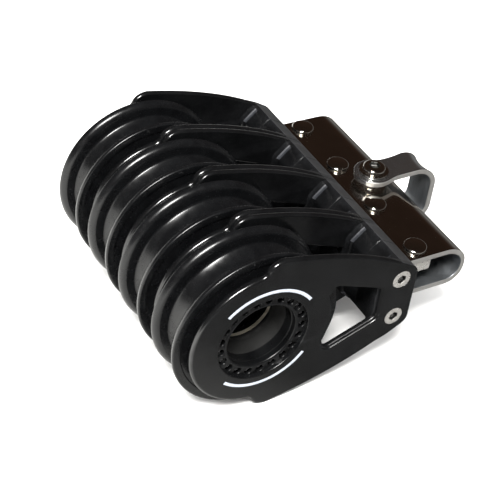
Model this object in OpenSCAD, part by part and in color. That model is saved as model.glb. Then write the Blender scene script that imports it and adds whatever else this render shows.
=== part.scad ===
// Four-sheave ball-bearing block for sailing boats.
// Four identical modules stand side by side along Y. Each has two moulded cheek shells,
// a grooved sheave on ball bearings and a hollow hub. Two cross tubes hold the stack, a
// folded stainless head strap is hooked round the tubes, and a becket swivels on its bolt.
// Origin: on the sheave axis at mid width. +X points to the head, +Y along the axle, +Z up.

/* [Block] */
// Distance between the middles of two neighbouring sheaves
pitch = 24; // [23:0.5:26]
// Thickness of one cheek shell's plate
cheek_t = 2.25; // [2:0.05:2.5]
// Radius of the rounded end of a cheek, about the axle
cheek_r = 24.8; // [24:0.1:25.5]
// Distance from the axle to the flat head end of the cheeks
head_x = 54.7; // [54.2:0.1:55.5]
// Distance from the axle to the face of the head block that looks at the sheave
head_face_x = 42; // [41.5:0.1:42.5]

/* [Sheave] */
// Outer radius of the sheave over its lips
sheave_r = 28.5; // [28:0.1:29]
// Radius at the bottom of the rope groove
groove_root_r = 22.2; // [22:0.1:22.4]
// Half of the distance between the outer faces of the two lips
lip_half = 7.7; // [7.4:0.1:7.9]
// Radius of the sheave's bore, the outer race of the balls
race_r = 15.8; // [15.8:0.01:15.9]

/* [Bearing and hub] */
// Radius of the hub's barrel, the inner race of the balls
barrel_r = 12.6; // [12.5:0.01:12.6]
// Radius of the hollow hub at its two ends
bore_r = 11.7; // [11.4:0.1:11.8]
// Radius of the hollow hub at its narrow middle
throat_r = 10; // [9.8:0.1:10.1]
// Radius of one bearing ball
ball_r = 1.55; // [1.5:0.01:1.55]
// Number of balls in a row, and of rinse holes in a flange
ball_count = 21; // [18:1:21]

/* [Head strap] */
// Half height of the folded head strap over its outside
strap_half = 7.6; // [7.4:0.1:7.8]
// Thickness of the strap's sheet
strap_t = 2; // [1.8:0.1:2.2]
// Distance from the axle to the outside of the strap's bend
strap_x = 79; // [78.5:0.1:79.5]
// Half of the strap's length along the axle
strap_len_half = 41.2; // [40:0.1:41.5]
// Distance from the axle to the row of rivets
rivet_x = 62; // [61.5:0.1:62.5]

/* [Becket] */
// Distance from the axle to the becket's bolt
bolt_x = 68.5; // [68:0.1:69]
// Radius of the becket's bolt
bolt_r = 2.5; // [2.4:0.05:2.5]
// Distance from the axle to the outside of the becket's bend
becket_x = 92.2; // [91:0.1:93]
// Half height of the becket over its outside
becket_half = 11.8; // [11.7:0.05:12]
// Half width of the becket's straight part
becket_w_half = 5.4; // [5:0.1:5.8]

/* [Hidden] */
$fn = 96;
MODULES = 4;
eps = 0.01;

// Cheek outline: a rounded end, a shoulder up to the flared part, a long crowned edge
half_pitch = pitch / 2;
inner_face = half_pitch - cheek_t;
shoulder_low = [-3.4, sqrt(cheek_r * cheek_r - 3.4 * 3.4)];
shoulder_high = [0.6, 28.7];
crown_start = [4.2, 29.4];
crown_mid = [30, 22.9];
crown_end = [51.6, 12.9];
head_half = 9.2;

// Head block between the plates of a module
block_face_half = 10.3;
block_slope = 5.2;

// Window through the cheek plate
window_arc_r = 24.2;
window_left_half = 9.4;
window_top = [[25.6, 12.3], [40.1, 6.6]];
window_right_half = 5;

// Hub
hub_end = half_pitch - 1.45;
hub_hole_r = 15.5;
flange_r = 16.9;
flange_t = 0.9;
seat_gap = 0.1;
cone_start = 5;
throat_half = 1;
rinse_r = 1.15;
rinse_circle_r = 14.1;
clip_from = 1.8;
clip_to = 3;
clip_inner_r = 10.3;
clip_outer_r = 11.5;

// Sheave
lip_corner_r = 0.45;
shoulder_r = 2.3;
shoulder_slope = 82;
groove_arc_r = 8.5;
groove_arc_slope = 30;
groove_fillet_r = 1.2;
boss_r = 19.5;
sheave_hub_half = 9.2;

// Bearing
ball_circle_r = (barrel_r + race_r) / 2;
ball_y = 8;
cage_inner_r = 13.2;
cage_outer_r = 15.2;
cage_half = 8.7;
pocket_gap = 0.1;

// Cross tubes and their screws
tube_x = 48.9;
tube_z = 7.75;
tube_r = 2.4;
tube_bore_r = 1.5;
tube_half = 4 * half_pitch - 1.7;
screw_head_r = 3.3;
screw_recess = 0.1;
screw_shank_r = 1.45;
screw_len = 12;
socket_r = 1.6;
socket_depth = 1.7;
bore_gap = 0.05;

// Head strap and what is riveted to it
strap_centre_x = strap_x - strap_half;
strap_in = strap_half - strap_t;
eye_r = 4.4;
eye_gap = 0.1;
strap_end_gap = 0.15;
bar_from = 53.5;
bar_to = 66.3;
bar_t = 4;
bar_len_half = 40.4;
rivet_r = 2.2;
rivet_head_r = 4;
rivet_head_h = 1.7;
rivet_rim = 0.5;
bush_r = 4;

// Becket
becket_t = 2;
becket_end_r = 6.8;
becket_corner_r = 7.5;
becket_bend_w_half = 5.9;
becket_in = becket_half - becket_t;
becket_corner = [becket_x - becket_corner_r, becket_half - becket_corner_r];
swivel_gap = 0.05;
spacer_r = 5.5;
washer_r = 5.2;
washer_t = 0.8;
head_r = 4;
head_h = 2.2;
hex_socket_r = 1.75;
hex_socket_depth = 1.3;
nut_r = 4.62;
nut_h = 4;
bolt_tail = 1.2;

// Printed arcs on the front cheek
print_r = 18.55;
print_w = 1.2;
print_t = 0.1;
print_arcs = [[37, 136], [229, 325]];

function module_y(k) = (k - (MODULES + 1) / 2) * pitch;
function arc_points(c, r, a0, a1, n) =
    [for (i = [0:n]) let (a = a0 + (a1 - a0) * i / n) [c[0] + r * cos(a), c[1] + r * sin(a)]];
// A quadratic curve from a to c, drawn towards b
function curve(a, b, c, n) =
    [for (i = [0:n]) let (t = i / n) (1 - t) * (1 - t) * a + 2 * t * (1 - t) * b + t * t * c];
function mirrored(points) =
    [for (i = [len(points) - 1:-1:0]) [points[i][0], -points[i][1]]];

// Upper half of the cheek's edge from the flared crown to the head end
crown_pull = 2 * crown_mid - (crown_start + crown_end) / 2;
crown_edge = concat(
    curve(crown_start, crown_pull, crown_end, 14),
    curve(crown_end, [head_x - 0.2, 11.4], [head_x, head_half], 5));
cheek_upper = concat(
    arc_points([0, 0], cheek_r, 180, 98, 24),
    curve(shoulder_low, [-1.6, 25.2], [-1.2, 26.4], 4),
    curve([-1, 27], shoulder_high, crown_start, 5),
    [for (i = [1:len(crown_edge) - 1]) crown_edge[i]]);
block_upper = concat(
    [[head_face_x, block_face_half], [head_face_x + block_slope, block_face_half + block_slope]],
    [for (p = crown_edge) if (p[0] > head_face_x + block_slope + 0.8) p]);
window_upper = concat(
    arc_points([0, 0], window_arc_r, 0, asin(window_left_half / window_arc_r), 6),
    curve([22.6, 10.4], [23.4, 13.1], window_top[0], 4),
    curve(window_top[1], [head_face_x, 5.9], [head_face_x, window_right_half], 4));

// Turns an X-Z outline into a slab from y0 to y1
module slab(y0, y1) {
    translate([0, y1, 0]) rotate([90, 0, 0]) linear_extrude(y1 - y0) children();
}
// Turns a radius-length profile about the axle
module turned() {
    rotate([-90, 0, 0]) rotate_extrude() children();
}
module rod_y(x, z, r, y0, y1) {
    translate([x, y0, z]) rotate([-90, 0, 0]) cylinder(r = r, h = y1 - y0);
}
module rod_z(x, y, r, z0, z1) {
    translate([x, y, z0]) cylinder(r = r, h = z1 - z0);
}
module ring_z(r_out, r_in, z0, z1) {
    difference() {
        rod_z(bolt_x, 0, r_out, z0, z1);
        rod_z(bolt_x, 0, r_in, z0 - 1, z1 + 1);
    }
}

// Front shell of a module centred on y = 0: plate, half head block, hub seat and strap pocket.
// end_shell closes the pocket and takes the cross tubes and their screws.
module cheek_shell(end_shell) {
    outer = -half_pitch;
    pocket_from = end_shell ? (MODULES - 1) / 2 * pitch - strap_len_half - strap_end_gap : outer - 1;
    difference() {
        union() {
            slab(outer, -inner_face) polygon(concat(cheek_upper, mirrored(cheek_upper)));
            slab(-inner_face - 1, 0) polygon(concat(block_upper, mirrored(block_upper)));
        }
        rod_y(0, 0, hub_hole_r, outer - 1, 0);
        rod_y(0, 0, flange_r + seat_gap, -hub_end, 0);
        slab(outer - 1, 0) polygon(concat(window_upper, mirrored(window_upper)));
        slab(pocket_from, 1) strap_pocket();
        if (end_shell) {
            for (side = [-1, 1]) {
                rod_y(tube_x, side * tube_z, tube_r + bore_gap, outer - 1, 0);
                screw_head(side * tube_z, outer, bore_gap);
            }
        }
    }
}
module strap_pocket() {
    for (side = [-1, 1]) {
        translate([tube_x, side * tube_z]) circle(r = eye_r + eye_gap);
        translate([tube_x, side * (strap_half - strap_t / 2) - strap_t / 2 - eye_gap])
            square([head_x - tube_x + 1, strap_t + 2 * eye_gap]);
    }
    translate([bar_from - eye_gap, strap_in - bar_t - eye_gap])
        square([head_x - bar_from + 1, bar_t + 2 * eye_gap]);
}
module screw_head(z, face_y, gap) {
    translate([tube_x, face_y, z]) rotate([-90, 0, 0]) {
        cylinder(r1 = screw_head_r + gap, r2 = tube_r + gap, h = 1.7);
        translate([0, 0, -1]) cylinder(r = screw_head_r + gap, h = 1 + eps);
    }
}
module cheek_front(k) {
    color([0.13, 0.13, 0.14]) difference() {
        translate([0, module_y(k), 0]) cheek_shell(k == 1);
        if (k == 1) print_solids();
    }
}
module cheek_back(k) {
    color([0.13, 0.13, 0.14]) translate([0, module_y(k), 0]) mirror([0, 1, 0])
        cheek_shell(k == MODULES);
}

// Hub half on the front side: flange with rinse holes, barrel and waisted bore
module hub_half(clip_seat) {
    difference() {
        turned() polygon([
            [bore_r + 0.3, -hub_end], [flange_r, -hub_end], [flange_r, -hub_end + flange_t],
            [barrel_r, -hub_end + flange_t], [barrel_r, 0], [throat_r, 0],
            [throat_r, -throat_half], [bore_r, -cone_start], [bore_r, -hub_end + 0.3]
        ]);
        for (i = [0:ball_count - 1]) {
            rotate([0, i * 360 / ball_count, 0])
                rod_y(rinse_circle_r, 0, rinse_r, -hub_end - 1, -hub_end + flange_t + 0.5);
        }
        if (clip_seat) {
            rod_y(0, 0, clip_outer_r + bore_gap, -clip_to - bore_gap, -clip_from + bore_gap);
        }
    }
}
module hub_front(k) {
    color([0.1, 0.1, 0.11]) translate([0, module_y(k), 0]) hub_half(false);
}
module hub_back(k) {
    color([0.1, 0.1, 0.11]) translate([0, module_y(k), 0]) mirror([0, 1, 0]) hub_half(true);
}
module hub_clip(k) {
    color("silver") translate([0, module_y(k), 0]) difference() {
        rod_y(0, 0, clip_outer_r, clip_from, clip_to);
        rod_y(0, 0, clip_inner_r, clip_from - 1, clip_to + 1);
    }
}

// Half of the groove's profile from the root out to the side face, as [radius, length] pairs:
// a wide arc, a tight fillet, a steep wall, a broad shoulder and a small outer corner
fillet_centre = [
    groove_root_r + groove_arc_r * (1 - cos(groove_arc_slope)) + groove_fillet_r * cos(groove_arc_slope),
    (groove_arc_r - groove_fillet_r) * sin(groove_arc_slope)
];
lip_top_y = lip_half - lip_corner_r;
groove_half = concat(
    [for (a = [6:6:groove_arc_slope])
        [groove_root_r + groove_arc_r * (1 - cos(a)), groove_arc_r * sin(a)]],
    arc_points(fillet_centre, -groove_fillet_r, -groove_arc_slope - 13, -shoulder_slope, 3),
    arc_points([sheave_r - shoulder_r, lip_top_y], shoulder_r, -shoulder_slope, 0, 7),
    arc_points([sheave_r - lip_corner_r, lip_top_y], lip_corner_r, 30, 90, 2));

// Sheave: bearing boss, web, two lips and a rope groove
module sheave(k) {
    side = concat(groove_half, [[boss_r + 1.5, lip_half], [boss_r, sheave_hub_half], [race_r, sheave_hub_half]]);
    color([0.06, 0.06, 0.06]) translate([0, module_y(k), 0]) turned()
        polygon(concat([[groove_root_r, 0]], side, mirrored(side)));
}

// Cage: a sleeve whose fingers keep the two rows of balls apart
module ball_cage(k) {
    color([0.2, 0.2, 0.2]) translate([0, module_y(k), 0]) difference() {
        rod_y(0, 0, cage_outer_r, -cage_half, cage_half);
        rod_y(0, 0, cage_inner_r, -cage_half - 1, cage_half + 1);
        for (i = [0:ball_count - 1]) {
            rotate([0, i * 360 / ball_count, 0]) for (side = [-1, 1]) {
                rod_y(ball_circle_r, 0, ball_r + pocket_gap,
                    side * ball_y - ball_r - pocket_gap, side * ball_y + ball_r + pocket_gap);
            }
        }
    }
}
module bearing_balls(k) {
    color([0.15, 0.15, 0.16]) translate([0, module_y(k), 0]) for (i = [0:ball_count - 1]) {
        rotate([0, i * 360 / ball_count, 0]) for (side = [-1, 1]) {
            translate([ball_circle_r, side * ball_y, 0]) sphere(r = ball_r, $fn = 32);
        }
    }
}

module cross_tube(side) {
    color("silver") difference() {
        rod_y(tube_x, side * tube_z, tube_r, -tube_half, tube_half);
        rod_y(tube_x, side * tube_z, tube_bore_r, -tube_half - 1, tube_half + 1);
    }
}
module cross_screw(z) {
    face = -MODULES * half_pitch;
    difference() {
        union() {
            translate([tube_x, face + screw_recess, z]) rotate([-90, 0, 0])
                cylinder(r1 = screw_head_r, r2 = tube_r, h = 1.6);
            rod_y(tube_x, z, screw_shank_r, face + 1, face + screw_len);
        }
        translate([tube_x, face - 1, z]) rotate([-90, 0, 0])
            cylinder(r = socket_r, h = 1 + screw_recess + socket_depth, $fn = 6);
    }
}
module cross_screws() {
    color("gainsboro") for (side = [-1, 1]) {
        cross_screw(side * tube_z);
        mirror([0, 1, 0]) cross_screw(side * tube_z);
    }
}

// Head strap: a folded sheet whose two ends are rolled into eyes round the cross tubes
module strap_section() {
    difference() {
        union() {
            translate([strap_centre_x, 0]) circle(r = strap_half);
            translate([tube_x, -strap_half]) square([strap_centre_x - tube_x, 2 * strap_half]);
            for (side = [-1, 1]) {
                translate([tube_x, side * tube_z]) circle(r = eye_r);
            }
        }
        translate([strap_centre_x, 0]) circle(r = strap_in);
        difference() {
            translate([tube_x - eye_r - 1, -strap_in])
                square([strap_centre_x - tube_x + eye_r + 1, 2 * strap_in]);
            for (side = [-1, 1]) {
                translate([tube_x, side * tube_z]) circle(r = eye_r);
            }
        }
        for (side = [-1, 1]) {
            translate([tube_x, side * tube_z]) circle(r = tube_r + bore_gap);
        }
    }
}
module head_strap() {
    color([0.72, 0.7, 0.66]) difference() {
        slab(-strap_len_half, strap_len_half) strap_section();
        for (k = [1:MODULES]) {
            rod_z(rivet_x, module_y(k), rivet_r + bore_gap, -strap_half - 1, strap_half + 1);
        }
        rod_z(bolt_x, 0, bolt_r + bore_gap, -strap_half - 1, strap_half + 1);
    }
}
module rivet_bar() {
    color("silver") difference() {
        slab(-bar_len_half, bar_len_half) translate([bar_from, strap_in - bar_t])
            square([bar_to - bar_from, bar_t]);
        for (k = [1:MODULES]) {
            rod_z(rivet_x, module_y(k), rivet_r + bore_gap, 0, strap_half);
        }
        rod_z(bolt_x, 0, bush_r + 2 * bore_gap, 0, strap_half);
    }
}
module dome_head(r, h, rim) {
    cylinder(r = r, h = rim);
    rise = h - rim;
    cap_r = (r * r + rise * rise) / (2 * rise);
    intersection() {
        translate([0, 0, h - cap_r]) sphere(r = cap_r);
        cylinder(r = r, h = h);
    }
}
module strap_rivets() {
    color("gainsboro") for (k = [1:MODULES]) {
        rod_z(rivet_x, module_y(k), rivet_r, -strap_half, strap_half);
        translate([rivet_x, module_y(k), 0]) for (flip = [0, 1]) {
            mirror([0, 0, flip]) translate([0, 0, strap_half])
                dome_head(rivet_head_r, rivet_head_h, rivet_rim);
        }
    }
}
module bolt_bush() {
    color("silver") ring_z(bush_r, bolt_r + bore_gap, -strap_in + bore_gap, strap_in - bore_gap);
}

// Becket: two waisted legs with round ends, joined by a squared bend
module becket_plan() {
    translate([bolt_x, 0]) circle(r = becket_end_r);
    polygon([
        [bolt_x, -becket_end_r + 0.3], [bolt_x + 6, -becket_w_half], [bolt_x + 12, -becket_w_half],
        [becket_corner[0], -becket_bend_w_half], [becket_corner[0], becket_bend_w_half],
        [bolt_x + 12, becket_w_half], [bolt_x + 6, becket_w_half], [bolt_x, becket_end_r - 0.3]
    ]);
}
module becket() {
    color([0.72, 0.7, 0.66]) difference() {
        union() {
            for (flip = [0, 1]) {
                mirror([0, 0, flip]) {
                    translate([0, 0, becket_in]) linear_extrude(becket_t) becket_plan();
                    translate([becket_corner[0], 0, becket_corner[1]]) rotate([-90, 0, 0])
                        rotate_extrude(angle = -90)
                            translate([becket_corner_r - becket_t, -becket_bend_w_half])
                                square([becket_t, 2 * becket_bend_w_half]);
                }
            }
            translate([becket_x - becket_t, -becket_bend_w_half, -becket_corner[1]])
                cube([becket_t, 2 * becket_bend_w_half, 2 * becket_corner[1]]);
        }
        rod_z(bolt_x, 0, bolt_r + 0.08, -becket_half - 1, becket_half + 1);
    }
}
module becket_spacers() {
    color("gainsboro") for (flip = [0, 1]) {
        mirror([0, 0, flip])
            ring_z(spacer_r, bolt_r + bore_gap, strap_half, becket_in - swivel_gap);
    }
}
module bolt_washers() {
    color("gainsboro") for (flip = [0, 1]) {
        mirror([0, 0, flip]) ring_z(washer_r, bolt_r + bore_gap,
            becket_half + swivel_gap, becket_half + swivel_gap + washer_t);
    }
}
module becket_bolt() {
    seat = becket_half + swivel_gap + washer_t;
    color("gainsboro") difference() {
        union() {
            rod_z(bolt_x, 0, bolt_r, -seat - nut_h - bolt_tail, seat + 0.5);
            translate([bolt_x, 0, seat]) dome_head(head_r, head_h, 0.7);
        }
        translate([bolt_x, 0, seat + head_h - hex_socket_depth])
            cylinder(r = hex_socket_r, h = 5, $fn = 6);
    }
}
module bolt_nut() {
    seat = becket_half + swivel_gap + washer_t;
    color("silver") difference() {
        translate([bolt_x, 0, -seat - nut_h]) cylinder(r = nut_r, h = nut_h, $fn = 6);
        rod_z(bolt_x, 0, bolt_r + bore_gap, -seat - nut_h - 1, -seat + 1);
    }
}

// Two concentric arcs printed on the front cheek, let into its face
module print_solids() {
    face = -MODULES * half_pitch;
    for (a = print_arcs) {
        slab(face, face + print_t) polygon(concat(
            arc_points([0, 0], print_r + print_w / 2, a[0], a[1], 24),
            arc_points([0, 0], print_r - print_w / 2, a[1], a[0], 24)));
    }
}
module printed_arcs() {
    color("white") print_solids();
}

for (k = [1:MODULES]) {
    cheek_front(k);
    cheek_back(k);
    hub_front(k);
    hub_back(k);
    hub_clip(k);
    sheave(k);
    ball_cage(k);
    bearing_balls(k);
}
cross_tube(1);  // cross_tube_upper
cross_tube(-1);  // cross_tube_lower
cross_screws();
printed_arcs();
head_strap();
rivet_bar();
strap_rivets();
bolt_bush();
becket();
becket_spacers();
becket_bolt();
bolt_washers();
bolt_nut();
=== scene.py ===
"""Looks for a four-sheave ball bearing block: moulded cheeks, grooved sheaves, a folded
polished strap with domed rivets and a swivelling becket. Lengths in this file are in
millimetres until a mesh is made, and the frame's axes are the CAD part's:
+X to the head, +Y along the axle away from the printed cheek, +Z up."""

import math

import bmesh
import bpy
from mathutils import Matrix, Vector
from mathutils.geometry import tessellate_polygon


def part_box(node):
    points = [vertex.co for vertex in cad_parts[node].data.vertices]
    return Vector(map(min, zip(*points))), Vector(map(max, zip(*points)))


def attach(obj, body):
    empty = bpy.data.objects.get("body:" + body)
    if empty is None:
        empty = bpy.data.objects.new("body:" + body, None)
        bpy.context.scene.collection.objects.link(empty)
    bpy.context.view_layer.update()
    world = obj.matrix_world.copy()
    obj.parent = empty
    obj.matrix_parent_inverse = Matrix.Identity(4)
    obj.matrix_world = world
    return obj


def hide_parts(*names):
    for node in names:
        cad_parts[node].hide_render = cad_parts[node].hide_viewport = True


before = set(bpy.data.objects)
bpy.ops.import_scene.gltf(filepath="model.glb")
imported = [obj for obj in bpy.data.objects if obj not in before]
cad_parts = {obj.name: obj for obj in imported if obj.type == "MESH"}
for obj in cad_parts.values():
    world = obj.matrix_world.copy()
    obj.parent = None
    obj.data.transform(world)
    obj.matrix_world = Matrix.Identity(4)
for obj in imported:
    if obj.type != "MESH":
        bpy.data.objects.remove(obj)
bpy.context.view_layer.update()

MM = 0.001
MODULES = 4


def box_mm(node):
    low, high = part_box(node)
    return low / MM, high / MM


# ------------------------------------------------------------------ sizes
def middle_y(k):
    low, high = box_mm(f"sheave_{k}")
    return (low.y + high.y) / 2


CHEEK_LOW, CHEEK_HIGH = box_mm("cheek_front_1")
SHEAVE_R = box_mm("sheave_1")[1].z
HALF_PITCH = (middle_y(2) - middle_y(1)) / 2
PLATE_T = 2.25
INNER_FACE = HALF_PITCH - PLATE_T
CHEEK_R = -CHEEK_LOW.x
HEAD_X = CHEEK_HIGH.x
CROWN_Z = CHEEK_HIGH.z
HEAD_FACE_X = 42.0
FLOOR_Z = CHEEK_LOW.z

HUB_HOLE_R = 15.5
HUB_FACE = HALF_PITCH - 1.45
FLANGE_R = 16.9
FLANGE_T = 0.9
BARREL_R = 12.6
BORE_R = 11.7
THROAT_R = 10.0
CONE_START = 5.0
RINSE_CIRCLE_R = 14.1
RINSE_R = 1.3
RINSE_HOLES = 21

TUBE_X = 48.9
TUBE_Z = 7.75
SCREW_R = 3.3

STRAP_LOW, STRAP_HIGH = box_mm("head_strap")
STRAP_HALF = 7.6
STRAP_T = 2.0
STRAP_END_X = STRAP_HIGH.x + 1.4
END_WALL_T = 1.7
STRAP_CUT_R = 0.28
RIVET_X = 62.0
BAR_LOW, BAR_HIGH = box_mm("rivet_bar")

BOLT_LOW, BOLT_HIGH = box_mm("becket_bolt")
BOLT_X = (BOLT_LOW.x + BOLT_HIGH.x) / 2
BECKET_HIGH = box_mm("becket")[1]
BECKET_T = 2.0
WASHER_HIGH = box_mm("bolt_washers")[1]


# ------------------------------------------------------------------ materials
class Nodes:
    """A Principled material that is built up node by node."""

    def __init__(self, name):
        self.material = bpy.data.materials.new(name)
        self.material.use_nodes = True
        self.tree = self.material.node_tree
        self.shader = self.tree.nodes["Principled BSDF"]
        self.place = self.add("ShaderNodeTexCoord").outputs["Object"]

    def add(self, kind, **settings):
        node = self.tree.nodes.new(kind)
        for key, value in settings.items():
            if hasattr(node, key):
                setattr(node, key, value)
            else:
                node.inputs[key.replace("_", " ")].default_value = value
        return node

    def link(self, source, target):
        self.tree.links.new(source, target)
        return target

    def noise(self, scale, detail=3.0, stretch=None):
        node = self.add("ShaderNodeTexNoise", Scale=scale, Detail=detail, Roughness=0.5)
        place = self.place
        if stretch:
            mapping = self.add("ShaderNodeMapping", Scale=stretch)
            self.link(place, mapping.inputs["Vector"])
            place = mapping.outputs["Vector"]
        self.link(place, node.inputs["Vector"])
        return node.outputs["Fac"]

    def spread(self, value, low, high, start=0.3, end=0.7):
        """Turns a noise value into a number from low to high."""
        node = self.add("ShaderNodeMapRange")
        limits = {"From Min": start, "From Max": end, "To Min": low, "To Max": high}
        for key, number in limits.items():
            node.inputs[key].default_value = number
        self.link(value, node.inputs["Value"])
        return node.outputs["Result"]

    def mix(self, factor, first, second):
        node = self.add("ShaderNodeMix", data_type="RGBA")
        self.link(factor, node.inputs["Factor"])
        for socket, value in ((node.inputs[6], first), (node.inputs[7], second)):
            if isinstance(value, tuple):
                socket.default_value = (*value, 1.0)
            else:
                self.link(value, socket)
        return node.outputs[2]

    def bumps(self, *layers):
        """Layers are (height, strength, distance in mm), from the coarsest to the finest."""
        normal = None
        for height, strength, distance in layers:
            node = self.add("ShaderNodeBump", Strength=strength, Distance=distance * MM)
            self.link(height, node.inputs["Height"])
            if normal is not None:
                self.link(normal, node.inputs["Normal"])
            normal = node.outputs["Normal"]
        self.link(normal, self.shader.inputs["Normal"])

    def edges(self):
        """1 along worn outer edges, 0 elsewhere, broken up by noise."""
        point = self.add("ShaderNodeNewGeometry").outputs["Pointiness"]
        worn = self.spread(point, 0.0, 1.0, 0.52, 0.6)
        node = self.add("ShaderNodeMath", operation="MULTIPLY")
        self.link(worn, node.inputs[0])
        self.link(self.spread(self.noise(700.0), 0.2, 1.0), node.inputs[1])
        return node.outputs["Value"]


def moulded(name, dark, light, edge, rough, specular, grain):
    """Moulded plastic: mottled colour, paler worn edges, fine grain and a slight waviness."""
    m = Nodes(name)
    body = m.mix(m.spread(m.noise(160.0, 4.0), 0.0, 1.0), dark, light)
    m.link(m.mix(m.edges(), body, edge), m.shader.inputs["Base Color"])
    m.link(m.spread(m.noise(320.0, 5.0), *rough), m.shader.inputs["Roughness"])
    m.shader.inputs["Specular IOR Level"].default_value = specular
    m.bumps((m.noise(90.0, 2.0), 0.08, 0.05), (m.noise(2600.0, 2.0), grain, 0.015))
    return m.material


def ringed(name, dark, light, rough, specular):
    """Glossy turned plastic: faint rings round the axle and a little dust in the gloss."""
    m = Nodes(name)
    split = m.add("ShaderNodeSeparateXYZ")
    m.link(m.place, split.inputs["Vector"])
    radius = m.add("ShaderNodeVectorMath", operation="LENGTH")
    flat = m.add("ShaderNodeCombineXYZ")
    m.link(split.outputs["X"], flat.inputs["X"])
    m.link(split.outputs["Z"], flat.inputs["Z"])
    m.link(flat.outputs["Vector"], radius.inputs[0])
    rings = m.add("ShaderNodeCombineXYZ")
    m.link(radius.outputs["Value"], rings.inputs["X"])
    m.link(split.outputs["Y"], rings.inputs["Y"])
    marks = m.add("ShaderNodeTexNoise", Scale=2600.0, Detail=2.0)
    m.link(rings.outputs["Vector"], marks.inputs["Vector"])
    tint = m.mix(m.spread(m.noise(240.0, 4.0), 0.0, 1.0), dark, light)
    m.link(tint, m.shader.inputs["Base Color"])
    m.link(m.spread(m.noise(420.0, 6.0), *rough), m.shader.inputs["Roughness"])
    m.shader.inputs["Specular IOR Level"].default_value = specular
    m.bumps((m.noise(70.0, 2.0), 0.2, 0.05), (marks.outputs["Fac"], 0.06, 0.02))
    return m.material


def steel(name, dark, light, rough, stretch, brush, metallic=1.0):
    """Stainless steel: slight tint changes and fine lines along one direction. A share of
    metallic below 1 makes a duller surface."""
    m = Nodes(name)
    m.shader.inputs["Metallic"].default_value = metallic
    tint = m.mix(m.spread(m.noise(130.0, 3.0), 0.0, 1.0), dark, light)
    m.link(tint, m.shader.inputs["Base Color"])
    lines = m.noise(900.0, 3.0, stretch)
    m.link(m.spread(lines, *rough), m.shader.inputs["Roughness"])
    m.bumps((m.noise(60.0, 2.0), 0.1, 0.05), (lines, brush, 0.01))
    return m.material


def inked(name):
    """Pad-printed ink: slightly uneven, and thinner in places."""
    m = Nodes(name)
    thin = m.spread(m.noise(1500.0, 4.0), 0.0, 1.0, 0.25, 0.45)
    m.link(m.mix(thin, (0.2, 0.22, 0.25), (0.36, 0.39, 0.44)), m.shader.inputs["Base Color"])
    m.link(m.spread(m.noise(900.0), 0.35, 0.5), m.shader.inputs["Roughness"])
    m.bumps((m.noise(3000.0), 0.2, 0.01))
    return m.material


PLASTIC = ((0.002, 0.0021, 0.0023), (0.0036, 0.0038, 0.0041))
CHEEK_MAT = moulded("cheek_plastic", *PLASTIC, (0.012, 0.0125, 0.0135), (0.2, 0.27), 0.4, 0.5)
RIM_MAT = moulded("cheek_rim", *PLASTIC, (0.02, 0.0205, 0.0215), (0.15, 0.21), 0.65, 0.3)
# Paler plastic for the edge of the step on the head block: a painted highlight along that edge.
STEP_HIGHLIGHT_MAT = moulded("cheek_step_painted_highlight", (0.02, 0.021, 0.024), (0.035, 0.037, 0.042),
                   (0.05, 0.052, 0.057), (0.2, 0.3), 0.5, 0.3)
MATT_MAT = moulded("cheek_end", (0.01, 0.0104, 0.011), (0.015, 0.0154, 0.0162),
                   (0.04, 0.041, 0.043), (0.5, 0.6), 0.45, 0.8)
HUB_MAT = moulded("hub_plastic", (0.0018, 0.0019, 0.0021), (0.0032, 0.0034, 0.0037),
                  (0.01, 0.0105, 0.0115), (0.26, 0.34), 0.36, 0.3)
# A paler copy of the hub plastic for the bore's waist: painted light, a lit band inside the bore.
BORE_LIT_BAND_MAT = moulded("hub_bore_painted_light", (0.009, 0.009, 0.0088), (0.013, 0.013, 0.0127),
                   (0.03, 0.03, 0.029), (0.6, 0.7), 0.04, 0.6)
SHEAVE_MAT = ringed("sheave_plastic", (0.0022, 0.0023, 0.0026), (0.004, 0.0042, 0.0046),
                    (0.2, 0.3), 0.38)
BALL_MAT = ringed("ball_plastic", (0.03, 0.03, 0.031), (0.05, 0.05, 0.052), (0.12, 0.2), 0.5)
INK_MAT = inked("print_white")
SHEET_MAT = steel("polished_sheet", (0.52, 0.49, 0.45), (0.6, 0.57, 0.53),
                  (0.07, 0.13), (1.0, 0.08, 1.0), 0.08)
INSIDE_MAT = steel("sheet_inside", (0.22, 0.235, 0.25), (0.28, 0.295, 0.31),
                   (0.4, 0.52), (1.0, 1.0, 0.1), 0.3, 0.96)
CUT_MAT = steel("cut_edge", (0.46, 0.45, 0.43), (0.54, 0.53, 0.51),
                (0.34, 0.46), (0.2, 1.0, 1.0), 0.25, 0.85)
BENT_MAT = steel("becket_sheet", (0.5, 0.51, 0.52), (0.58, 0.59, 0.6),
                 (0.14, 0.22), (1.0, 0.1, 1.0), 0.1, 0.985)
POLISH_MAT = steel("polished_steel", (0.56, 0.54, 0.5), (0.66, 0.64, 0.6),
                   (0.07, 0.13), (1.0, 1.0, 0.3), 0.06)
TURNED_MAT = steel("machined_steel", (0.6, 0.58, 0.55), (0.7, 0.68, 0.64),
                   (0.24, 0.36), (1.0, 0.3, 1.0), 0.15, 0.8)
# Dark steel for the inside of hexagon sockets: painted shade in the recess.
SOCKET_SHADE_MAT = steel("socket_painted_shade", (0.1, 0.098, 0.094), (0.16, 0.157, 0.15),
                   (0.25, 0.4), (1.0, 1.0, 0.4), 0.2)
CLIP_MAT = steel("clip_steel", (0.62, 0.57, 0.46), (0.7, 0.65, 0.54),
                 (0.3, 0.42), (1.0, 0.3, 1.0), 0.15, 0.5)


# ------------------------------------------------------------------ mesh tools
def arc(centre, radius, start, end, steps):
    angles = [math.radians(start + (end - start) * i / steps) for i in range(steps + 1)]
    return [(centre[0] + radius * math.cos(a), centre[1] + radius * math.sin(a)) for a in angles]


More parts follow.
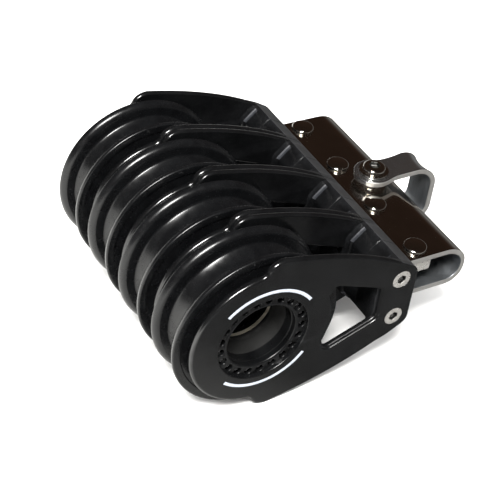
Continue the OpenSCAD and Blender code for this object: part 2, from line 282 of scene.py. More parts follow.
def curve(a, b, c, steps):
    """A quadratic curve from a to c, drawn towards b."""
    points = []
    for i in range(steps + 1):
        t = i / steps
        shares = ((1 - t) ** 2, 2 * t * (1 - t), t * t)
        points.append(tuple(sum(w * v for w, v in zip(shares, axis)) for axis in zip(a, b, c)))
    return points


def mirrored(points):
    return [(x, -z) for x, z in reversed(points)]


def tidy_loop(points, least=0.05):
    """Drops points that lie almost on the one before."""
    kept = []
    for p in points:
        if not kept or math.dist(p, kept[-1]) > least:
            kept.append(p)
    while math.dist(kept[0], kept[-1]) <= least:
        kept.pop()
    return kept


def area(points):
    total = 0.0
    for (x0, z0), (x1, z1) in zip(points, points[1:] + points[:1]):
        total += x0 * z1 - x1 * z0
    return total / 2


def inward(points, hole):
    """For each point of a loop, the mitred direction that leads into the material."""
    sign = 1 if (area(points) > 0) != hole else -1
    found = []
    for i, p in enumerate(points):
        before, after = points[i - 1], points[(i + 1) % len(points)]
        first = Vector((p[0] - before[0], p[1] - before[1])).normalized()
        second = Vector((after[0] - p[0], after[1] - p[1])).normalized()
        left = [Vector((-d.y, d.x)) * sign for d in (first, second)]
        both = (left[0] + left[1]).normalized()
        found.append(both / max(0.5, both.dot(left[0])))
    return found


def rounded(y0, y1, r0, r1, steps=5):
    """The edge of a slab from y0 to y1, with rounded corners of r0 and r1, as (inset, y) steps.
    share scales both corners at one point of the loop."""

    def profile(share):
        made = []
        for i in range(steps + 1):
            a = math.pi / 2 * i / steps
            made.append((r0 * share * (1 - math.sin(a)), y0 + r0 * share * (1 - math.cos(a))))
        for i in range(steps + 1):
            a = math.pi / 2 * i / steps
            made.append((r1 * share * (1 - math.cos(a)), y1 - r1 * share * (1 - math.sin(a))))
        return made

    return profile


def add_slab(bm, loops):
    """A solid between two flat faces across Y. loops are (points, profile, shares), the outline
    first and then its holes; a profile gives the (inset, y) steps of that wall."""
    ends = ([], [])
    for number, (points, profile, shares) in enumerate(loops):
        directions = inward(points, number > 0)
        columns = [profile(s) for s in (shares or [1.0] * len(points))]
        rings = []
        for step in range(len(columns[0])):
            ring = []
            for (x, z), d, column in zip(points, directions, columns):
                inset, y = column[step]
                ring.append(bm.verts.new((x + d.x * inset, y, z + d.y * inset)))
            rings.append(ring)
        for first, second in zip(rings, rings[1:]):
            for i in range(len(points)):
                j = (i + 1) % len(points)
                bm.faces.new((first[i], first[j], second[j], second[i]))
        ends[0].append(rings[0])
        ends[1].append(rings[-1])
    for rings in ends:
        flat = [v for ring in rings for v in ring]
        for triangle in tessellate_polygon([[v.co for v in ring] for ring in rings]):
            bm.faces.new([flat[i] for i in triangle])


def add_turned(bm, profile, steps, place):
    """A closed (radius, height) profile turned about the local Z axis, put in place.
    Points at radius 0 become one pole each."""
    rings = []
    for radius, height in profile:
        if radius < 1e-6:
            rings.append([bm.verts.new(place @ Vector((0, 0, height)))])
            continue
        ring = []
        for i in range(steps):
            a = 2 * math.pi * i / steps
            point = Vector((radius * math.cos(a), radius * math.sin(a), height))
            ring.append(bm.verts.new(place @ point))
        rings.append(ring)
    closed = len(rings[0]) > 1 and len(rings[-1]) > 1
    pairs = list(zip(rings, rings[1:])) + ([(rings[-1], rings[0])] if closed else [])
    join_rings(bm, pairs, steps)


def join_rings(bm, pairs, steps, material=0):
    """Faces between pairs of rings; a ring of one point is a pole."""
    for first, second in pairs:
        for i in range(steps):
            j = (i + 1) % steps
            if len(first) == 1:
                corners = (first[0], second[i], second[j])
            elif len(second) == 1:
                corners = (first[i], first[j], second[0])
            else:
                corners = (first[i], first[j], second[j], second[i])
            bm.faces.new(corners).material_index = material


def hexagon(radius, angle):
    """Distance from the middle of a hexagon to its edge, in a direction."""
    turn = (angle + math.pi / 6) % (math.pi / 3) - math.pi / 6
    return radius * math.cos(math.pi / 6) / math.cos(turn)


def add_socketed(bm, outside, socket_r, depth, place, steps):
    """A turned head whose profile ends at its top, with a hexagon socket let into that top.
    The socket's walls take the piece's second material, a dark steel that paints the shade in the
    socket."""
    top = outside[-1][1]
    rings = [[(r, h)] * steps for r, h in outside]
    angles = [2 * math.pi * i / steps for i in range(steps)]
    for grow, drop in ((0.12, 0.02), (0.0, 0.16), (0.0, depth - 0.1), (-0.12, depth)):
        rings.append([(hexagon(socket_r + grow, a), top - drop) for a in angles])
    made = []
    for ring in rings:
        points = [Vector((r * math.cos(a), r * math.sin(a), h)) for (r, h), a in zip(ring, angles)]
        made.append([bm.verts.new(place @ point) for point in points])
    head = len(outside)
    join_rings(bm, list(zip(made[:head + 1], made[1:head + 1])), steps)
    # The socket's walls take the dark steel, painted shade.
    join_rings(bm, list(zip(made[head:], made[head + 1:])), steps, 1)
    middle = bm.verts.new(place @ Vector((0, 0, top - depth - 0.25)))
    base = bm.verts.new(place @ Vector((0, 0, outside[0][1])))
    join_rings(bm, [(made[-1], [middle])], steps, 1)
    join_rings(bm, [([base], made[0])], steps)


def along_y(y, direction=1):
    """Places a turned shape's local Z along Y (or -Y), with its zero at y."""
    turn = Matrix.Rotation(-math.pi / 2 * direction, 4, "X")
    return Matrix.Translation((0, y, 0)) @ turn


def finish_piece(name, bm, materials, body, nodes, sharp=32.0):
    """Makes the object from a bmesh in millimetres, shades it and puts it on its body."""
    bmesh.ops.remove_doubles(bm, verts=bm.verts, dist=0.002)
    bmesh.ops.recalc_face_normals(bm, faces=bm.faces)
    bmesh.ops.scale(bm, vec=(MM, MM, MM), verts=bm.verts)
    mesh = bpy.data.meshes.new(name)
    bm.to_mesh(mesh)
    bm.free()
    for material in materials:
        mesh.materials.append(material)
    mesh.polygons.foreach_set("use_smooth", [True] * len(mesh.polygons))
    mesh.set_sharp_from_angle(angle=math.radians(sharp))
    piece = bpy.data.objects.new(name, mesh)
    bpy.context.scene.collection.objects.link(piece)
    weighted = piece.modifiers.new("flat_faces", "WEIGHTED_NORMAL")
    weighted.keep_sharp = True
    weighted.weight = 80
    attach(piece, body)
    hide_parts(*nodes)
    return piece


# ------------------------------------------------------------------ cheeks
CROWN_START, CROWN_MID, CROWN_END = (4.2, CROWN_Z), (30.0, 22.9), (51.6, 12.9)
CROWN_PULL = tuple(2 * m - (a + b) / 2 for m, a, b in zip(CROWN_MID, CROWN_START, CROWN_END))
CROWN = tidy_loop(
    curve(CROWN_START, CROWN_PULL, CROWN_END, 40)
    + curve(CROWN_END, (HEAD_X - 0.2, 11.4), (HEAD_X, 9.2), 10)
)
SHOULDER_LOW = (-3.4, math.sqrt(CHEEK_R ** 2 - 3.4 ** 2))
CHEEK_UPPER = (
    arc((0, 0), CHEEK_R, 180, 98, 60)
    + curve(SHOULDER_LOW, (-1.75, 25.0), (-1.2, 26.4), 6)
    + curve((-1.2, 26.4), (0.1, 29.2), CROWN_START, 10)
    + CROWN
)
CHEEK_LOOP = tidy_loop(CHEEK_UPPER + mirrored(CHEEK_UPPER), 0.2)

BLOCK_FACE_HALF = 10.3
BLOCK_SLOPE = 5.2
SLOPE_END = (HEAD_FACE_X + BLOCK_SLOPE, BLOCK_FACE_HALF + BLOCK_SLOPE)
BLOCK_UPPER = (
    [(HEAD_FACE_X, z) for z in (0.0, 2.5, 5.0, 7.5)]
    + curve((HEAD_FACE_X, 9.3), (HEAD_FACE_X, BLOCK_FACE_HALF), (HEAD_FACE_X + 0.75, 11.05), 5)
    + [(HEAD_FACE_X + s, BLOCK_FACE_HALF + s) for s in (1.6, 2.5, 3.4, 4.3)]
    + [p for p in CROWN if p[0] > SLOPE_END[0] + 0.1]
)
BLOCK_LOOP = tidy_loop(BLOCK_UPPER + mirrored(BLOCK_UPPER)[:-1], 0.2)
STEP_WIDTH = 2.75
STEP_RISE = 1.0
RIM_END_X = 6.0
RIM_START_R = 23.6

WINDOW_ARC_R = 24.2
WINDOW_CORNER_Z = 9.4
FAR_WINDOW_DROP = 1.4


def window_loop(drop=0.0):
    """The window's outline; drop lowers the corner next to the sheave."""
    corner = math.asin((WINDOW_CORNER_Z - drop) / WINDOW_ARC_R)
    upper = (
        arc((0, 0), WINDOW_ARC_R, 0, math.degrees(corner), 12)
        + curve((22.5, 9.9 - drop), (23.3, 13.2 - 1.4 * drop), (25.6, 12.3 - 1.3 * drop), 8)
        + curve((39.4, 6.9), (HEAD_FACE_X, 5.9), (HEAD_FACE_X, 4.4), 6)
    )
    return tidy_loop(upper + mirrored(upper), 0.2)


def circle(radius, steps, x=0.0, z=0.0):
    return arc((x, z), radius, 0, 360, steps)[:-1]


def edge_share(x):
    """The rim's rounding fades out where the cheeks meet the head block's flush strip."""
    return max(0.3, min(1.0, (49.5 - x) / 6.0))


def cheek(name, k, direction, end_shell):
    """One cheek shell. direction is 1 for the front shell of a module and -1 for the back one;
    an end shell has a wider window border and countersinks for the cross screws."""
    outer, seat, inner_y = -HALF_PITCH, -HUB_FACE, -INNER_FACE

    def hub_wall(share):
        flange_seat = FLANGE_R + 0.1 - HUB_HOLE_R
        return rounded(outer, seat, 0.4, 0.0)(share) + [(flange_seat, seat), (flange_seat, inner_y)]

    def window_wall(share):
        if not end_shell:
            return rounded(outer, inner_y, 0.6, 0.6)(share)
        border = [(1.25 - 0.35 * math.sin(a), outer + 0.3 * (1 - math.cos(a)))
                  for a in (0, math.pi / 4, math.pi / 2)]
        lip = [(i, y + 0.35) for i, y in rounded(outer, inner_y - 0.35, 0.7, 0.5)(share)]
        return border + [(0.85, outer + 0.35)] + lip

    def screw_wall(share):
        return [(0.25, outer), (0.05, outer + 0.12), (-0.85, outer + 1.75), (-0.85, inner_y)]

    bm = bmesh.new()
    loops = [
        (CHEEK_LOOP, rounded(outer, inner_y, 1.1, 0.8), [edge_share(x) for x, z in CHEEK_LOOP]),
        (circle(HUB_HOLE_R, 120), hub_wall, None),
        (window_loop(0.0 if k < MODULES else FAR_WINDOW_DROP), window_wall, None),
    ]
    if end_shell:
        for z in (-TUBE_Z, TUBE_Z):
            loops.append((circle(SCREW_R, 48, TUBE_X, z), screw_wall, None))
    add_slab(bm, loops)

    def block_wall(share):
        edge = inner_y + STEP_WIDTH
        step = [(-STEP_RISE * share, inner_y - 0.8)]
        for i in range(7):
            a = math.pi / 2 * i / 6
            step.append((-share * STEP_RISE * math.cos(a), edge - STEP_RISE * (1 - math.sin(a))))
        return step + [(-0.02 * share, edge + 0.06)] + rounded(0, 0, 0, 0.22, 3)(1.0)[4:]

    shares = [max(0.0, min(1.0, SLOPE_END[0] - x)) for x, z in BLOCK_LOOP]
    add_slab(bm, [(BLOCK_LOOP, block_wall, shares)])
    bm.normal_update()
    for face in bm.faces:
        middle = face.calc_center_median()
        if middle.x > SLOPE_END[0] + 0.1 and abs(face.normal.y) < 0.6 and abs(middle.z) > 9.6:
            face.material_index = 1
        from_axle = math.hypot(middle.x, middle.z)
        if abs(face.normal.y) < 0.985 and middle.x < RIM_END_X and from_axle > RIM_START_R:
            face.material_index = 3
        # Faces along the edge of the step take the paler plastic, a painted highlight.
        along = middle.y - inner_y - STEP_WIDTH
        if -0.75 < along < 0.06 and middle.x < SLOPE_END[0] - 0.8 and 10.6 < abs(middle.z):
            face.material_index = 2
    if direction < 0:
        bmesh.ops.scale(bm, vec=(1, -1, 1), verts=bm.verts)
    bmesh.ops.translate(bm, vec=(0, middle_y(k), 0), verts=bm.verts)
    materials = [CHEEK_MAT, MATT_MAT, STEP_HIGHLIGHT_MAT, RIM_MAT]
    finish_piece(name, bm, materials, "block_frame", [name])


for k in range(1, MODULES + 1):
    cheek(f"cheek_front_{k}", k, 1, k == 1)
    cheek(f"cheek_back_{k}", k, -1, k == MODULES)


# ------------------------------------------------------------------ hubs
def hub(name, k, direction):
    """Half a hollow hub: a flange with rinse holes, a rounded mouth and a waisted bore."""
    bm = bmesh.new()
    front, back = -HUB_FACE, -HUB_FACE + FLANGE_T
    loops = [(circle(FLANGE_R, 120), rounded(front, back, 0.15, 0.1), None),
             (circle(BORE_R + 0.5, 96), rounded(front, back, 0.05, 0.05), None)]
    for i in range(RINSE_HOLES):
        a = 2 * math.pi * i / RINSE_HOLES
        hole = circle(RINSE_R, 20, RINSE_CIRCLE_R * math.cos(a), -RINSE_CIRCLE_R * math.sin(a))
        loops.append((hole, rounded(front, back, 0.3, 0.05), None))
    add_slab(bm, loops)
    mouth = [(BORE_R + 0.6 - 0.6 * math.sin(a), front - 0.15 + 0.6 * (1 - math.cos(a)))
             for a in [math.pi / 2 * i / 6 for i in range(7)]]
    step = [(BORE_R + 0.15, front + 2.0), (BORE_R - 0.1, front + 2.2)]
    waist = [(BORE_R - 0.1, -CONE_START - 0.2), (BORE_R - 0.2, -CONE_START + 0.2),
             (THROAT_R + 0.15, -1.3), (THROAT_R, -0.9), (THROAT_R, 0.0)]
    collar_r = BORE_R + 0.95
    outside = [(BARREL_R, 0.0), (BARREL_R, back), (collar_r, back), (collar_r, front - 0.15)]
    add_turned(bm, mouth + step + waist + outside, 128, along_y(0))
    # The bore's waist takes the paler plastic, painted light standing in for a lit band.
    for face in bm.faces:
        middle = face.calc_center_median()
        if -CONE_START - 0.4 < middle.y < -0.2 and math.hypot(middle.x, middle.z) < BORE_R:
            face.material_index = 1
    if direction < 0:
        bmesh.ops.scale(bm, vec=(1, -1, 1), verts=bm.verts)
    bmesh.ops.translate(bm, vec=(0, middle_y(k), 0), verts=bm.verts)
    finish_piece(name, bm, [HUB_MAT, BORE_LIT_BAND_MAT], "block_frame", [name])


for k in range(1, MODULES + 1):
    hub(f"hub_front_{k}", k, 1)
    hub(f"hub_back_{k}", k, -1)


# ------------------------------------------------------------------ sheaves
def sheave_profile():
    """Half of the sheave's section as (radius, y), from the groove's root round to the race."""
    root_r, arc_r, arc_slope, fillet_r, wall = 22.2, 8.5, 30.0, 1.2, 82.0
    shoulder_r, corner_r, lip_half = 2.3, 0.6, 7.7
    top_y = lip_half - corner_r
    points = []
    for i in range(13):
        a = math.radians(arc_slope * i / 12)
        points.append((root_r + arc_r * (1 - math.cos(a)), arc_r * math.sin(a)))
    slope = math.radians(arc_slope)
    centre = (root_r + arc_r * (1 - math.cos(slope)) + fillet_r * math.cos(slope),
              (arc_r - fillet_r) * math.sin(slope))
    for i in range(1, 9):
        a = math.radians(arc_slope + (wall - arc_slope) * i / 8)
        points.append((centre[0] - fillet_r * math.cos(a), centre[1] + fillet_r * math.sin(a)))
    for i in range(17):
        a = math.radians(wall * (1 - i / 16))
        points.append((SHEAVE_R - shoulder_r + shoulder_r * math.cos(a),
                       top_y - shoulder_r * math.sin(a)))
    for i in range(1, 7):
        a = math.pi / 2 * i / 6
        points.append((SHEAVE_R - corner_r + corner_r * math.cos(a),
                       top_y + corner_r * math.sin(a)))
    # A shallow annular recess in the side face, then the raised boss round the race
    side = [(26.2, 7.7), (25.8, 7.6), (25.6, 7.3), (22.0, 7.3), (21.5, 7.45), (21.0, 7.75),
            (19.9, 8.95), (19.5, 9.15), (19.1, 9.2), (16.1, 9.2), (15.8, 8.9)]
    return points + side


def sheave(k):
    half = sheave_profile()
    profile = half + [(r, -y) for r, y in reversed(half[1:])]
    bm = bmesh.new()
    add_turned(bm, profile, 180, along_y(middle_y(k)))
    name = f"sheave_{k}"
    finish_piece(name, bm, [SHEAVE_MAT], f"sheave_body_{k}", [name], 40.0)


for k in range(1, MODULES + 1):
    sheave(k)


# ------------------------------------------------------------------ print on the front cheek
def printed_arcs():
    face = middle_y(1) - HALF_PITCH
    bm = bmesh.new()
    for start, end in ((37, 136), (229, 325)):
        outside = arc((0, 0), 19.1, start, end, 60)
        inside = arc((0, 0), 18.0, end, start, 60)
        add_slab(bm, [(outside + inside, rounded(face - 0.04, face + 0.1, 0.03, 0.0, 2), None)])
    finish_piece("printed_arcs", bm, [INK_MAT], "block_frame", ["printed_arcs"])


printed_arcs()


# ------------------------------------------------------------------ head strap, bar and rivets
def strap_bend(half, end_x, reach, corner_r, steps):
    """The strap's folded end, from its top leg round to its bottom leg: a long curve above and
    a squarer corner below."""
    above = [(end_x - reach + reach * math.sin(t), half * math.cos(t))
             for t in (i * math.pi / 2 / steps for i in range(steps + 1))]
    return above + arc((end_x - corner_r, corner_r - half), corner_r, 0, -90, steps)


def head_strap():
    """The folded sheet: polished outside, satin inside and at its cut edges. Its legs run on
    into the head block."""
    inside_half = STRAP_HALF - STRAP_T
    hidden_x = HEAD_X - 4.5
    outside = [(hidden_x, STRAP_HALF)] + strap_bend(STRAP_HALF, STRAP_END_X, 9.0, 6.4, 24)
    bend = strap_bend(inside_half, STRAP_END_X - END_WALL_T, 7.6, 4.8, 18)
    inside = [(hidden_x, -inside_half)] + list(reversed(bend)) + [(hidden_x, inside_half)]
    loop = tidy_loop(outside + [(hidden_x, -STRAP_HALF)] + inside)
    cut_end = rounded(STRAP_LOW.y, STRAP_HIGH.y, STRAP_CUT_R, STRAP_CUT_R, 4)
    bm = bmesh.new()
    add_slab(bm, [(loop, cut_end, None)])
    bm.normal_update()
    for face in bm.faces:
        middle = face.calc_center_median()
        outwards = Vector((max(0.0, middle.x - STRAP_END_X + 5.4), 0, middle.z))
        in_fold = abs(middle.z) < inside_half + 0.3 and middle.x < STRAP_END_X - 1.3
        if abs(face.normal.y) > 0.6:
            face.material_index = 1
        elif in_fold and face.normal.dot(outwards) <= 0:
            face.material_index = 2
    materials = [SHEET_MAT, CUT_MAT, INSIDE_MAT]
    finish_piece("head_strap", bm, materials, "block_frame", ["head_strap"])


def rivet_bar():
    """The bar the rivets go through, a little below the strap's top leg."""
    bm = bmesh.new()
    corners = []
    corner_r = 0.6
    bottom, top = BAR_LOW.z - 0.8, BAR_HIGH.z - 0.45
    for x, z, start in ((BAR_HIGH.x, bottom, -90), (BAR_HIGH.x, top, 0),
                        (BAR_LOW.x, top, 90), (BAR_LOW.x, bottom, 180)):
        middle = (x + math.copysign(corner_r, BAR_LOW.x + BAR_HIGH.x - 2 * x),
                  z + math.copysign(corner_r, bottom + top - 2 * z))
        corners += arc(middle, corner_r, start, start + 90, 5)
    add_slab(bm, [(corners, rounded(BAR_LOW.y, BAR_HIGH.y, 0.55, 0.55, 5), None)])
    finish_piece("rivet_bar", bm, [TURNED_MAT], "block_frame", ["rivet_bar"])


def dome(radius, height, edge, wall, steps=10):
    """A domed head from its middle out to its rim: a gentle crown, a rounded shoulder and a
    short upright wall."""
    drop = 0.22 * (height - wall)
    points = []
    for i in range(steps + 1):
        t = i / steps
        points.append(((radius - edge) * t, height - drop * t * t))
    shoulder = points[-1][1]
    for i in range(1, steps + 1):
        a = math.pi / 2 * i / steps
        points.append((radius - edge + edge * math.sin(a), wall + (shoulder - wall) * math.cos(a)))
    return points + [(radius, 0.12), (radius - 0.12, 0.0)]


def strap_rivets():
    height = box_mm("strap_rivets")[1].z - STRAP_HALF
    bm = bmesh.new()
    for k in range(1, MODULES + 1):
        for side in (1, -1):
            place = Matrix.Translation((RIVET_X, middle_y(k), 0)) @ Matrix.Scale(side, 4, (0, 0, 1))
            place = place @ Matrix.Translation((0, 0, STRAP_HALF))
            add_turned(bm, dome(4.0, height, 0.9, 0.55) + [(0, 0)], 72, place)
        shank = Matrix.Translation((RIVET_X, middle_y(k), 0))
        add_turned(bm, [(0, 7.0), (2.2, 7.0), (2.2, -7.0), (0, -7.0)], 40, shank)
    finish_piece("strap_rivets", bm, [POLISH_MAT], "block_frame", ["strap_rivets"])


head_strap()
rivet_bar()
strap_rivets()


# ------------------------------------------------------------------ becket and its bolt
def becket():
    """A waisted strip bent to a U, with round ends on the bolt and a saddle-shaped bend whose
    edges flare outwards."""
    end_r, waist, bend_w, corner_r = 6.8, 5.3, 6.0, 7.5
    flare = 1.3
    outer_z = BECKET_HIGH.z
    out_x = BECKET_HIGH.x - flare
    mid_r = corner_r - BECKET_T / 2
    corner = (out_x - corner_r, outer_z - corner_r)

    stations = [BOLT_X - (end_r - 0.02) * math.cos(math.pi / 2 * i / 20) for i in range(21)]
    stations += [BOLT_X + (corner[0] - BOLT_X) * i / 12 for i in range(1, 13)]
    rows = []
    for x in stations:
        if x <= BOLT_X:
            half = math.sqrt(max(end_r ** 2 - (BOLT_X - x) ** 2, 0.02))
        else:
            t = min(1.0, (x - BOLT_X) / 7.0)
            half = end_r + (waist - end_r) * (t * t * (3 - 2 * t))
            late = max(0.0, (x - BOLT_X - 8.0) / (corner[0] - BOLT_X - 8.0))
            half += (bend_w - waist) * late * late * 0.5
        late = max(0.0, min(1.0, (x - BOLT_X - 7.0) / (corner[0] - BOLT_X - 7.0)))
        rows.append(((x, outer_z - BECKET_T / 2), (0.0, 1.0), half, 0.35 * flare * late * late))
    half_at_corner = rows[-1][2]
    for i in range(1, 15):
        a = math.pi / 2 * (1 - i / 14)
        normal = (math.cos(a), math.sin(a))
        point = (corner[0] + mid_r * normal[0], corner[1] + mid_r * normal[1])
        t = i / 14
        ease = t * t * (3 - 2 * t)
        rows.append((point, normal, half_at_corner + (bend_w - half_at_corner) * ease,
                     flare * (0.35 + 0.65 * ease)))
    lower = [((x, -z), (nx, -nz), half, bend) for (x, z), (nx, nz), half, bend in reversed(rows)]
    rows += [((rows[-1][0][0], 0.0), (1.0, 0.0), bend_w, flare)] + lower

    # A ring of points round each row's section, with rounded edges
    bm = bmesh.new()
    rings = []
    across, edge = 14, 0.45
    for (x, z), (nx, nz), half, bend in rows:
        soft = min(edge, half * 0.6)
        section = []
        for side in (1, -1):
            for i in range(across + 1):
                y = (half - soft) * (1 - 2 * i / across) * side
                section.append((y, side * BECKET_T / 2))
            for i in range(1, 5):
                a = math.pi / 2 * i / 5
                section.append((-side * (half - soft + soft * math.sin(a)),
                                side * (BECKET_T / 2 - soft + soft * math.cos(a))))
            for i in range(1, 5):
                a = math.pi / 2 * i / 5
                section.append((-side * (half - soft + soft * math.cos(a)),
                                -side * (BECKET_T / 2 - soft + soft * math.sin(a))))
        ring = []
        for y, up in section:
            lift = up + bend * (y / max(half, 0.1)) ** 2
            ring.append(bm.verts.new((x + nx * lift, y, z + nz * lift)))
        rings.append(ring)
    join_rings(bm, list(zip(rings, rings[1:])), len(rings[0]))
    bm.faces.new(rings[0])
    bm.faces.new(list(reversed(rings[-1])))
    bm.normal_update()
    for face in bm.faces:
        middle = face.calc_center_median()
        inwards = Vector((BOLT_X + 6.0 - middle.x, 0, -middle.z))
        if abs(face.normal.y) > 0.6:
            face.material_index = 1
        elif face.normal.dot(inwards) > 0 and middle.x > BOLT_X + 6.0:
            face.material_index = 2
    materials = [BENT_MAT, CUT_MAT, INSIDE_MAT]
    finish_piece("becket", bm, materials, "becket_body", ["becket"])


def ring_profile(outer_r, inner_r, z0, z1, soft):
    return [(inner_r, z0 + soft), (inner_r, z1 - soft), (inner_r + soft, z1), (outer_r - soft, z1),
            (outer_r - 0.3 * soft, z1 - 0.3 * soft), (outer_r, z1 - soft), (outer_r, z0 + soft),
            (outer_r - 0.3 * soft, z0 + 0.3 * soft), (outer_r - soft, z0), (inner_r + soft, z0)]


def bolt_rings(name, outer_r, z0, z1, soft):
    """A pair of washers or spacers on the bolt, one above the strap and one below."""
    bm = bmesh.new()
    for side in (1, -1):
        place = Matrix.Translation((BOLT_X, 0, 0)) @ Matrix.Scale(side, 4, (0, 0, 1))
        add_turned(bm, ring_profile(outer_r, 2.55, z0, z1, soft), 80, place)
    finish_piece(name, bm, [POLISH_MAT], "block_frame", [name])


def becket_bolt():
    seat = WASHER_HIGH.z
    height = BOLT_HIGH.z - seat
    head = list(reversed(dome(4.0, height, 1.1, 0.7, 12)))
    head = [(r, h) for r, h in head if r > 2.35]
    bm = bmesh.new()
    place = Matrix.Translation((BOLT_X, 0, seat))
    add_socketed(bm, [(2.5, 0.0)] + head, 1.9, 1.3, place, 96)
    shank = [(0, BOLT_LOW.z), (2.2, BOLT_LOW.z)]
    thread = BOLT_LOW.z + 0.3
    while thread < -WASHER_HIGH.z - 0.4:
        shank += [(2.48, thread), (2.48, thread + 0.1), (2.15, thread + 0.4), (2.15, thread + 0.5)]
        thread += 0.8
    shank += [(2.5, -WASHER_HIGH.z), (2.5, seat + 0.2), (0, seat + 0.2)]
    add_turned(bm, shank, 64, Matrix.Translation((BOLT_X, 0, 0)))
    materials = [POLISH_MAT, SOCKET_SHADE_MAT]
    finish_piece("becket_bolt", bm, materials, "block_frame", ["becket_bolt"])


def bolt_nut():
    """A hexagon nut with chamfered corners and a bored middle."""
    low, high = box_mm("bolt_nut")
    flats_r, steps = 4.62, 96
    angles = [2 * math.pi * i / steps for i in range(steps)]
    outside = ((4.05, 0.0), (4.3, 0.12), (9.0, 0.5))
    rows = [(limit, high.z - drop) for limit, drop in outside]
    rows += [(limit, low.z + drop) for limit, drop in reversed(outside)]
    bore = [(2.75, low.z), (2.5, low.z + 0.25), (2.5, high.z - 0.25), (2.75, high.z)]
    bm = bmesh.new()
    rings = []
    for limit, z in rows + bore:
        ring = []
        for a in angles:
            r = min(hexagon(flats_r, a), limit)
            ring.append(bm.verts.new((BOLT_X + r * math.cos(a), r * math.sin(a), z)))
        rings.append(ring)
    join_rings(bm, list(zip(rings, rings[1:])) + [(rings[-1], rings[0])], steps)
    finish_piece("bolt_nut", bm, [POLISH_MAT], "block_frame", ["bolt_nut"])


def cross_screws():
    """Four countersunk screws, one at each end of both cross tubes."""
    low, high = box_mm("cross_screws")
    bm = bmesh.new()
    head = [(1.45, 11.0), (1.45, 1.75), (2.35, 1.7), (SCREW_R - 0.06, 0.32), (SCREW_R, 0.2),
            (SCREW_R - 0.05, 0.06), (SCREW_R - 0.2, 0.0), (2.1, 0.0), (1.95, 0.02)]
    profile = [(r, -h) for r, h in head]
    for z in (-TUBE_Z, TUBE_Z):
        for y, direction in ((low.y, -1), (high.y, 1)):
            place = Matrix.Translation((TUBE_X, 0, z)) @ along_y(y, direction)
            add_socketed(bm, profile, 1.6, 1.7, place, 72)
    materials = [TURNED_MAT, SOCKET_SHADE_MAT]
    finish_piece("cross_screws", bm, materials, "block_frame", ["cross_screws"])


becket()
becket_bolt()
bolt_rings("bolt_washers", 5.2, WASHER_HIGH.z - 0.8, WASHER_HIGH.z, 0.2)
bolt_rings("becket_spacers", 5.5, STRAP_HALF, BECKET_HIGH.z - BECKET_T - 0.05, 0.35)
bolt_nut()
cross_screws()


# ------------------------------------------------------------------ CAD nodes that stay
for name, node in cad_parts.items():
    if node.hide_render:
        continue
    if name.startswith("bearing_balls"):
        material = BALL_MAT
    elif name.startswith("ball_cage"):
        material = HUB_MAT
    elif name.startswith("hub_clip"):
        material = CLIP_MAT
    else:
        material = TURNED_MAT
    node.data.materials.clear()
    node.data.materials.append(material)


# ------------------------------------------------------------------ floor, light and camera
FAR_LEFT = (-0.8, 0.6, 0.0)


def pale_disk(name, colours, lift):
    """A wide flat disk at the height the block rests on. colours are its far-left and its
    near-right tint; where they differ, they paint the light on it, brightest at the far left."""
    bm = bmesh.new()
    bmesh.ops.create_circle(bm, cap_ends=True, segments=96, radius=4.0)
    bmesh.ops.translate(bm, vec=(0, 0, (FLOOR_Z + lift) * MM), verts=bm.verts)
    mesh = bpy.data.meshes.new(name)
    bm.to_mesh(mesh)
    bm.free()
    m = Nodes(name)
    across = m.add("ShaderNodeVectorMath", operation="DOT_PRODUCT")
    m.link(m.place, across.inputs[0])
    across.inputs[1].default_value = FAR_LEFT
    tint = m.mix(m.spread(across.outputs["Value"], 0.0, 1.0, -0.05, 0.05), colours[1], colours[0])
    spots = m.add("ShaderNodeMix", data_type="RGBA", blend_type="MULTIPLY")
    spots.inputs["Factor"].default_value = 1.0
    m.link(tint, spots.inputs[6])
    patches = m.mix(m.spread(m.noise(5.0), 0.0, 1.0), (0.96, 0.96, 0.96), (1.0, 1.0, 1.0))
    m.link(patches, spots.inputs[7])
    m.link(spots.outputs[2], m.shader.inputs["Base Color"])
    m.shader.inputs["Roughness"].default_value = 0.8
    m.shader.inputs["Specular IOR Level"].default_value = 0.1
    mesh.materials.append(m.material)
    piece = bpy.data.objects.new(name, mesh)
    bpy.context.scene.collection.objects.link(piece)
    return piece


def floor():
    """The pale floor, and the dimmer table that stands in for it in reflections."""
    seen = pale_disk("floor", ((0.9, 0.9, 0.89), (0.9, 0.9, 0.89)), 0.0)
    seen.visible_glossy = False
    # The table's colours are painted light: bright at the far left, dark near the right.
    mirrored_floor = pale_disk("table", ((0.8, 0.8, 0.78), (0.07, 0.07, 0.069)), 0.1)
    mirrored_floor.visible_camera = False
    mirrored_floor.visible_diffuse = False
    mirrored_floor.visible_shadow = False


def soft_box(name, direction, distance, size, power, colour):
    """A rectangular light that faces the object, its long side along X."""
    long_axis = Vector((1, 0, 0))
    light = bpy.data.lights.new(name, "AREA")
    light.shape = "RECTANGLE"
    light.size, light.size_y = size
    light.energy = power
    light.color = colour
    back = Vector(direction).normalized()
    side = (long_axis - long_axis.dot(back) * back).normalized()
    up = back.cross(side)
    lamp = bpy.data.objects.new(name, light)
    facing = Matrix((side, up, back)).transposed().to_4x4()
    lamp.matrix_world = Matrix.Translation(back * distance) @ facing
    bpy.context.scene.collection.objects.link(lamp)
    return lamp


def even_light(name, direction, strength):
    """Soft light from one side for the floor and the matt surfaces, without a highlight."""
    light = bpy.data.lights.new(name, "SUN")
    light.energy = strength
    light.angle = math.radians(60)
    lamp = bpy.data.objects.new(name, light)
    lamp.rotation_mode = "QUATERNION"
    lamp.rotation_quaternion = Vector(direction).to_track_quat("Z", "Y")
    lamp.visible_glossy = False
    bpy.context.scene.collection.objects.link(lamp)


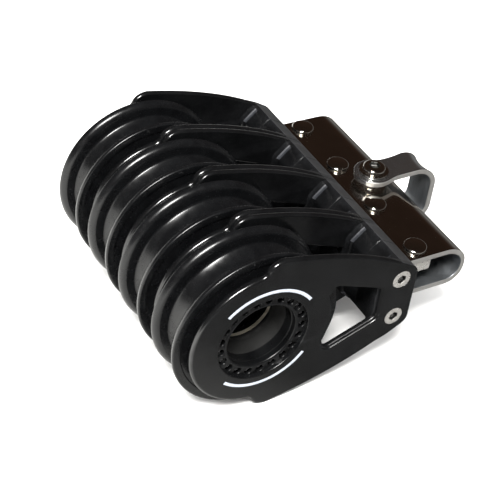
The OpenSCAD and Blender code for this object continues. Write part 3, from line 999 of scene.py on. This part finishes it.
def room():
    """A dim brown room round a table that is brightest at the far left. The world's lower half
    stands in for the table in reflections."""
    world = bpy.data.worlds.new("room")
    bpy.context.scene.world = world
    world.use_nodes = True
    tree = world.node_tree
    place = tree.nodes.new("ShaderNodeTexCoord").outputs["Generated"]
    split = tree.nodes.new("ShaderNodeSeparateXYZ")
    tree.links.new(place, split.inputs["Vector"])

    side = tree.nodes.new("ShaderNodeVectorMath")
    side.operation = "DOT_PRODUCT"
    tree.links.new(place, side.inputs[0])
    side.inputs[1].default_value = FAR_LEFT
    table = tree.nodes.new("ShaderNodeValToRGB")
    tree.links.new(side.outputs["Value"], table.inputs["Fac"])
    table.color_ramp.elements[0].position = 0.0
    table.color_ramp.elements[0].color = (0.4, 0.4, 0.39, 1)
    table.color_ramp.elements[1].position = 0.8
    table.color_ramp.elements[1].color = (1.3, 1.3, 1.28, 1)

    walls = tree.nodes.new("ShaderNodeValToRGB")
    tree.links.new(split.outputs["Z"], walls.inputs["Fac"])
    stops = walls.color_ramp.elements
    stops[0].position, stops[0].color = 0.0, (0.16, 0.155, 0.15, 1)
    stops[1].position, stops[1].color = 0.9, (0.018, 0.012, 0.009, 1)
    stops.new(0.3).color = (0.034, 0.02, 0.014, 1)

    above = tree.nodes.new("ShaderNodeMapRange")
    above.inputs["From Min"].default_value = -0.06
    above.inputs["From Max"].default_value = 0.08
    tree.links.new(split.outputs["Z"], above.inputs["Value"])
    both = tree.nodes.new("ShaderNodeMix")
    both.data_type = "RGBA"
    tree.links.new(above.outputs["Result"], both.inputs["Factor"])
    tree.links.new(table.outputs["Color"], both.inputs[6])
    tree.links.new(walls.outputs["Color"], both.inputs[7])
    tree.links.new(both.outputs[2], tree.nodes["Background"].inputs["Color"])


def camera():
    """Above and in front of the printed cheek, a little towards the round end."""
    eye = Vector((-0.16501, -0.28225, 0.26714))
    ahead = Vector((0.42895, 0.6455, -0.63193)).normalized()
    right = Vector((0.87208, -0.47831, 0.10338))
    right = (right - right.dot(ahead) * ahead).normalized()
    up = right.cross(ahead)
    data = bpy.data.cameras.new("camera")
    data.lens = 93.42
    data.sensor_width = 36.0
    data.clip_start = 0.01
    piece = bpy.data.objects.new("camera", data)
    piece.matrix_world = Matrix.Translation(eye) @ Matrix((right, up, -ahead)).transposed().to_4x4()
    bpy.context.scene.collection.objects.link(piece)
    bpy.context.scene.camera = piece


floor()
soft_box("key", (-0.36, -0.43, 0.83), 1.0, (0.36, 0.24), 25.0, (1.0, 0.99, 0.97))
for side in range(4):
    turn = math.radians(20 + 90 * side)
    even_light(f"even_light_{side}", (math.cos(turn), math.sin(turn), 1.2), 1.5)
room()
camera()
bpy.context.scene.view_settings.view_transform = "Standard"
